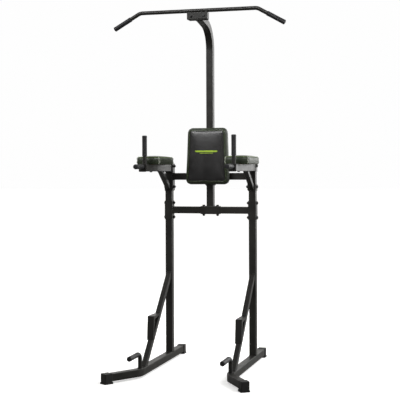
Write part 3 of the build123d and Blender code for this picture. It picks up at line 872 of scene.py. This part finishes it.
# %% [markdown]
# ## A printed stripe
#
# The front of the back pad carries a plain printed stripe with a thinner one under it. Ink follows
# the cover, so each stripe starts as a flat patch just in front of it and a Shrinkwrap modifier
# lays it on, 0.4 mm proud. The result is kept and the modifier removed; a Solidify modifier then
# gives the layer its thickness, back into the cover.

# %% Print on the back pad


def stripe(centre, width, height, corner):
    """A flat rounded patch in front of the pad: a filled outline about its centre."""
    corners = SQUARE * [width / 2, height / 2] + centre
    return back.place(filled(rounded_outline(corners, corner, 24))[0], back_depth + 5 * MM)


def lay_on(piece, pad, proud):
    """Move a piece's points onto the nearest surface of a pad, proud of it by a distance."""
    wrap = piece.modifiers.new("lay", "SHRINKWRAP")
    wrap.target = pad
    wrap.wrap_method = "NEAREST_SURFACEPOINT"
    wrap.wrap_mode = "ABOVE_SURFACE"
    wrap.offset = proud
    wrapped = piece.evaluated_get(bpy.context.evaluated_depsgraph_get())
    laid = read(wrapped.data.vertices, "co")
    piece.modifiers.remove(wrap)
    piece.data.vertices.foreach_set("co", laid.ravel())
    piece.data.update()


print_height = back_rim[:, 1].min() + np.ptp(back_rim[:, 1]) * 0.585
stripes = [
    stripe((0.0, print_height), 150 * MM, 10 * MM, 4.9 * MM),
    stripe((0.0, print_height - 12 * MM), 90 * MM, 3.2 * MM, 1.5 * MM),
]
printed = surface("back_pad_print", stripes, print_vinyl)
lay_on(printed, back_pad, 0.4 * MM)
ink = printed.modifiers.new("thickness", "SOLIDIFY")
ink.thickness = 0.6 * MM
ink.offset = -1.0
print("stripe at", round(float(print_height / MM), 1), "mm above the pad's lower edge")

# %% [markdown]
# ## Grips
#
# The handles wear PVC foam grips: a tube with a rounded, closed end and a low collar at the open
# one, with a second low bead just behind the rounded end, as dipped grips have. Each is a profile
# turned about its handle. Where the handle is and how long the grip is are read from the CAD
# grip's own points: their middle, and the direction they spread along most, which is the first
# singular vector.

# %% A profile turned about a handle
GRIP_RADIUS = 15.0 * MM
BORE = 12.7 * MM            # just clear of the 25 mm handle
COLLAR = 0.5 * MM           # how far the collar and the bead stand out


def turned(start, axis, stations, radii, sides=44):
    """Rings of the given radii at stations along an axis: start + station * axis + radius * rim."""
    across = unit(np.cross(axis, [0.31, 0.52, 0.79]))
    third = np.cross(axis, across)
    t = np.linspace(0, 2 * np.pi, sides + 1)[:, None]
    rim = np.cos(t) * across + np.sin(t) * third
    rim[-1] = rim[0]
    stations, radii = np.asarray(stations)[:, None, None], np.asarray(radii)[:, None, None]
    return start + stations * axis + radii * rim


def grip(name, towards):
    """A grip in place of the CAD one: bore, collar, barrel with a gentle waist, bead and dome."""
    points = node_points(name)
    middle = (points.max(axis=0) + points.min(axis=0)) / 2
    axis = np.linalg.svd(points - points.mean(axis=0), full_matrices=False)[2][0]
    axis = axis * np.sign(axis @ towards)
    reach = (points - middle) @ axis
    length = float(np.ptp(reach))
    start = middle + axis * reach.min()
    proud = GRIP_RADIUS + COLLAR
    s = np.linspace(7 * MM, length - 12 * MM, 14)
    waist = GRIP_RADIUS - 0.35 * MM * np.sin((s - s[0]) / (s[-1] - s[0]) * np.pi)
    angle = np.linspace(0, np.pi / 2, 7)
    turn = np.linspace(0, np.pi, 5)
    bead_at = length - 10 * MM + 2.0 * MM * (1 - np.cos(turn))
    dome_at = length - 5 * MM + 5 * MM * np.sin(angle)
    dome = GRIP_RADIUS - 6 * MM * (1 - np.cos(angle))
    bore_end = length - 4 * MM
    collar_at = np.array([0.3, 0, 0.6, 4.5, 5.5]) * MM
    collar = [BORE, GRIP_RADIUS - 0.6 * MM, proud, proud, GRIP_RADIUS]
    stations = np.r_[bore_end, bore_end, collar_at, s, bead_at, dome_at, length]
    radii = np.r_[0, BORE, collar, waist, GRIP_RADIUS + COLLAR * np.sin(turn), dome, 0]
    piece = surface(name + "_foam", [turned(start, axis, stations, radii)], foam)
    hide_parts(name)
    return length


for side, sign in (("left", -1), ("right", 1)):
    lengths = [
        grip(side + "_upright_grip", (0, 0, 1)),
        grip(side + "_dip_grip", (0, -1, 0)),
        grip(side + "_pushup_grip", (0, -1, 0)),
        grip(side + "_bar_grip", (sign, 0, 0)),
    ]
print("grip lengths, mm:", [round(length / MM) for length in lengths])

# %% [markdown]
# ## Weld beads
#
# The frame's tubes are MIG welded before they are coated. A MIG bead is a row of overlapping
# droplets about 3 mm apart, so it looks like a small rope lying in the corner between two parts.
# Here it is a tube whose radius rises and falls along its length. A bead runs round a tube's end,
# whose place and size are the end of its CAD node's box; at a slanted tube it runs round the
# slanted cut, which is longer than the tube is wide.

# %% Beads round the ends of tubes
FAR = np.full(3, np.inf)    # a corner that limits nothing
DROP = 3 * MM               # length of one weld droplet


def bead(path, normal):
    """A closed tube along a path, of radius 2.2 mm + 0.45 mm * sin of the way along / 3 mm."""
    ring = closed(path)
    reach = distances(ring)
    drops = max(8, round(reach[-1] / DROP))
    wanted = np.linspace(0, reach[-1], drops * 4, endpoint=False)
    even = np.stack([np.interp(wanted, reach, ring[:, k]) for k in range(3)], axis=1)
    radius = 2.2 * MM + 0.45 * MM * np.sin(np.arange(drops * 4) * np.pi / 2)
    return tube(even, radius, normal, True, 6)


def end_bead(node, axis, at_high, lowest, highest):
    """A bead round a tube where it ends: its node's box at that end, within two given corners."""
    corners = np.array(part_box(node), float)
    corners = np.stack([np.maximum(corners[0], lowest), np.minimum(corners[1], highest)])
    level = corners[int(at_high), axis]
    u, v = [k for k in range(3) if k != axis]
    span = corners[1] - corners[0]
    middle = corners.mean(axis=0)
    flat = rounded_outline(SQUARE * [span[u] / 2, span[v] / 2], 3 * MM, 12)
    path = np.zeros((len(flat), 3))
    path[:, axis] = level
    path[:, u] = flat[:, 0] + middle[u]
    path[:, v] = flat[:, 1] + middle[v]
    return bead(path, np.eye(3)[axis])


def ring_bead(node):
    """A bead round a round tube where it stands on a flat top; its upright run is its rearmost."""
    low, high = (np.array(corner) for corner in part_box(node))
    t = np.linspace(0, 2 * np.pi, 48, endpoint=False)
    radius = (high[0] - low[0]) / 2
    rim = np.stack([np.cos(t) * radius, np.sin(t) * radius, 0 * t], axis=1)
    centre = np.array([(low[0] + high[0]) / 2, high[1] - radius, low[2]])
    return bead(centre + rim, (0, 0, 1))


def strut_beads(node, rises):
    """Beads round both cuts of a strut that slopes back. A cut is width / sine of the slope long on
    a level face and width / cosine on an upright one, and the strut's long edge gives the slope."""
    low, high = (np.array(corner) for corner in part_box(node))
    width = high[0] - low[0]
    slope = np.arctan2(high[2] - low[2], high[1] - low[1])
    level_limit = np.array([np.inf, low[1] + width / np.sin(slope), np.inf])
    steep = width / np.cos(slope)
    if rises:
        upright = end_bead(node, 1, True, np.array([-np.inf, -np.inf, high[2] - steep]), FAR)
    else:
        upright = end_bead(node, 1, True, -FAR, np.array([np.inf, np.inf, low[2] + steep]))
    return [end_bead(node, 2, not rises, -FAR, level_limit), upright]


welds = []
for side in ("left", "right"):
    welds.append(end_bead(side + "_post", 2, False, -FAR, FAR))
    for at_high in (True, False):
        welds.append(end_bead(side + "_arm_tube", 1, at_high, -FAR, FAR))
        welds.append(end_bead(side + "_upper_crossbar_tube", 0, at_high, -FAR, FAR))
    welds.append(end_bead("lower_crossbar", 0, side == "right", -FAR, FAR))
    welds += [ring_bead(side + "_upright_handle"), ring_bead(side + "_pushup_handle")]
    welds += strut_beads(side + "_brace", True) + strut_beads(side + "_arm_brace", False)
foot_of_mast = np.array([-np.inf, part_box("lower_crossbar")[0][1], -np.inf])
head_of_mast = np.array([-np.inf, -np.inf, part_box("mast_head_plate")[0][2]])
welds.append(end_bead("mast", 2, False, foot_of_mast, FAR))
welds.append(end_bead("mast", 1, False, head_of_mast, FAR))
weld_piece = surface("weld_beads", welds, paint)
print("weld beads:", len(welds), "with", len(weld_piece.data.polygons), "faces")

# %% [markdown]
# ## Studio
#
# The floor is a plain pale plane in a pale surround. The surround lights more from behind than
# from the front: satin paint shows it in its grazing reflections, so the right-hand faces of the
# tubes gleam while their fronts stay dark. Floor and surround are both paler to the camera than
# they are to the tower, as they would be before a backdrop lit on its own.
#
# The key light stands high on the right, a second one behind it and a low one beside it, and all
# three rake the right-hand faces. A long narrow light above the front shines on the pads only, in
# a beam of 36 degrees, and gives the back pad the highlight along its upper edge.

# %% Floor and surround


def matt_floor():
    """Pale matt paper. Like the surround, it is paler to the camera than to the tower."""
    paper, place = begin("floor_paper")
    colour, gloss = uneven(paper, place, 900, "#fafafa", "#fcfcfc", 0.85, 0.95)
    glow = {"Emission Color": linear("#ffffff"), "Emission Strength": 0.38}
    sockets = {"Base Color": colour, "Roughness": gloss, **glow}
    seen = add(paper, "ShaderNodeBsdfPrincipled", sockets)["BSDF"]
    bounce = add(paper, "ShaderNodeBsdfDiffuse", {"Color": linear("#8f8f8d")})[0]
    by_camera = add(paper, "ShaderNodeLightPath", {})["Is Camera Ray"]
    either = add(paper, "ShaderNodeMixShader", {0: by_camera, 1: bounce, 2: seen})[0]
    add(paper, "ShaderNodeOutputMaterial", {"Surface": either})
    return paper


floor_reach = 60.0
floor_mesh = bpy.data.meshes.new("floor")
floor_corners = np.c_[SQUARE * floor_reach, np.zeros(4)]
floor_mesh.from_pydata(floor_corners, [], [[0, 1, 2, 3]])
floor_mesh.materials.append(matt_floor())
floor = bpy.data.objects.new("floor", floor_mesh)
bpy.context.scene.collection.objects.link(floor)

world = bpy.data.worlds.new("surround")
world.use_nodes = True
world.node_tree.nodes.clear()
seen = add(world, "ShaderNodeBackground", {"Color": linear("#fefefe"), "Strength": 1.0})[0]
facing = add(world, "ShaderNodeTexCoord", {})["Generated"]
ahead = add(world, "ShaderNodeSeparateXYZ", {0: facing})["Y"]
ramp = {"Value": ahead, "From Min": -0.1, "From Max": 0.7, "To Min": 0.62, "To Max": 1.0}
strength = add(world, "ShaderNodeMapRange", ramp)[0]
lighting = add(world, "ShaderNodeBackground", {"Color": linear("#f6f5f2"), "Strength": strength})[0]
by_camera = add(world, "ShaderNodeLightPath", {})["Is Camera Ray"]
either = add(world, "ShaderNodeMixShader", {0: by_camera, 1: lighting, 2: seen})[0]
add(world, "ShaderNodeOutputWorld", {"Surface": either})
bpy.context.scene.world = world
bpy.context.scene.view_settings.view_transform = "Standard"

# %% Lights


def soft_light(name, place, target, size, power):
    """An area light of (width, height) at a place, facing a target."""
    light = bpy.data.lights.new(name, "AREA")
    light.shape = "RECTANGLE"
    light.size, light.size_y = size
    light.energy = power
    lamp = bpy.data.objects.new(name, light)
    bpy.context.scene.collection.objects.link(lamp)
    aim = unit(np.array(place, float) - target)
    across = unit(np.cross((0, 0, 1), aim))
    lamp.matrix_world = to_matrix(across, np.cross(aim, across), aim, place)
    lamp.visible_camera = False
    return lamp


def to_matrix(x, y, z, place):
    """A 4 by 4 placement whose columns are three directions and a place."""
    columns = np.eye(4)
    columns[:3, 0], columns[:3, 1], columns[:3, 2], columns[:3, 3] = x, y, z, place
    return Matrix(columns.tolist())


middle = np.array([0.0, 0.0, 1.2])
feet = np.array([0.0, 0.0, 0.4])
pads = np.array([0.0, 0.2, 1.55])
soft_light("key", (3.6, -1.0, 3.4), middle, (2.6, 2.6), 110)
soft_light("rear_right", (2.6, 3.6, 2.2), middle, (2.6, 2.6), 86)
pad_light = soft_light("top_front", (-0.9, -3.0, 3.7), pads, (3.2, 0.9), 13)
pad_light.data.spread = np.radians(36)
soft_light("low_right", (4.4, 1.6, 0.9), feet, (2.2, 1.2), 60)

# %% [markdown]
# ## Camera
#
# The camera stands level, a little to the right of the front, about six and a half metres away,
# with a long lens. It is raised to the height of the arm pads, and the lens is shifted down to
# take in the feet, as with a view camera, so that the posts stay upright.

# %% Camera
camera_place = (1.7582, -6.1681, 1.2547)
turn = np.radians(15.834)       # to the right of the tower's front
tilt = np.radians(0.201)        # about the line of sight
forward = np.array([-np.sin(turn), np.cos(turn), 0])
level = np.array([np.cos(turn), np.sin(turn), 0])
up = np.array([0.0, 0.0, 1.0])
right = level * np.cos(tilt) - up * np.sin(tilt)
above = up * np.cos(tilt) + level * np.sin(tilt)
lens = bpy.data.cameras.new("camera")
lens.sensor_width = 36.0
lens.lens = 91.69
lens.shift_y = -0.073
camera = bpy.data.objects.new("camera", lens)
camera.matrix_world = to_matrix(right, above, -forward, camera_place)
bpy.context.scene.collection.objects.link(camera)
bpy.context.scene.camera = camera
print("camera at", camera_place)
